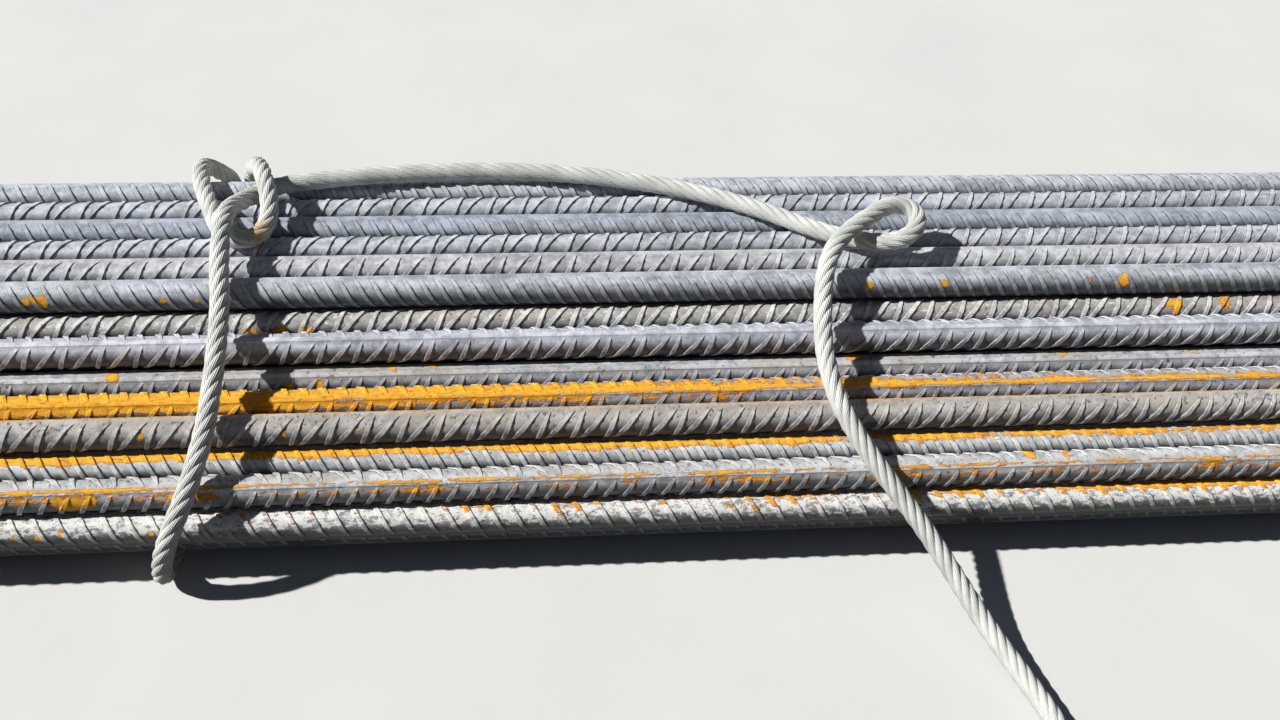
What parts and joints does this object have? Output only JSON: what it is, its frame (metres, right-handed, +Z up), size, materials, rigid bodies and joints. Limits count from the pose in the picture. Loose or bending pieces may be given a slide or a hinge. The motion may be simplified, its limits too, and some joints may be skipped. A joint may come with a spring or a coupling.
{
  "type": "rebar bundle",
  "caption": "Tied bundle of ribbed reinforcing bars, stepped at the front, with a wire rope sling choked round it and its free end laid alongside.",
  "frame": {"origin": "on the floor, under the middle of the bundle, between the bars' ends", "axes": "+X along the bars, -Y towards the stepped front, +Z up"},
  "size_m": [6.0274, 0.5601, 0.1558],
  "materials": {
    "bar_steel": "blue-grey mill scale on hot-rolled ribbed bar, with patches of fresh yellow and orange rust",
    "tie_wire": "dull black annealed wire rod with brown rust",
    "sling_wire": "weathered pale grey-beige galvanised wire rope",
    "sleeve_aluminium": "dull pressed aluminium with scuffs"
  },
  "bodies": {
    "root": {"bars_layer_1": "bar_steel", "bars_layer_2": "bar_steel", "bars_layer_3": "bar_steel", "bars_layer_4": "bar_steel", "bars_layer_5": "bar_steel", "bars_layer_6": "bar_steel", "wire_tie_1": "tie_wire", "wire_tie_2": "tie_wire", "wire_tie_3": "tie_wire", "wire_tie_4": "tie_wire", "choke_ferrule": "sleeve_aluminium", "end_ferrule": "sleeve_aluminium", "sling_rope": "sling_wire", "sling_choke_eye": "sling_wire", "sling_end_eye": "sling_wire"}
  },
  "joints": []
}
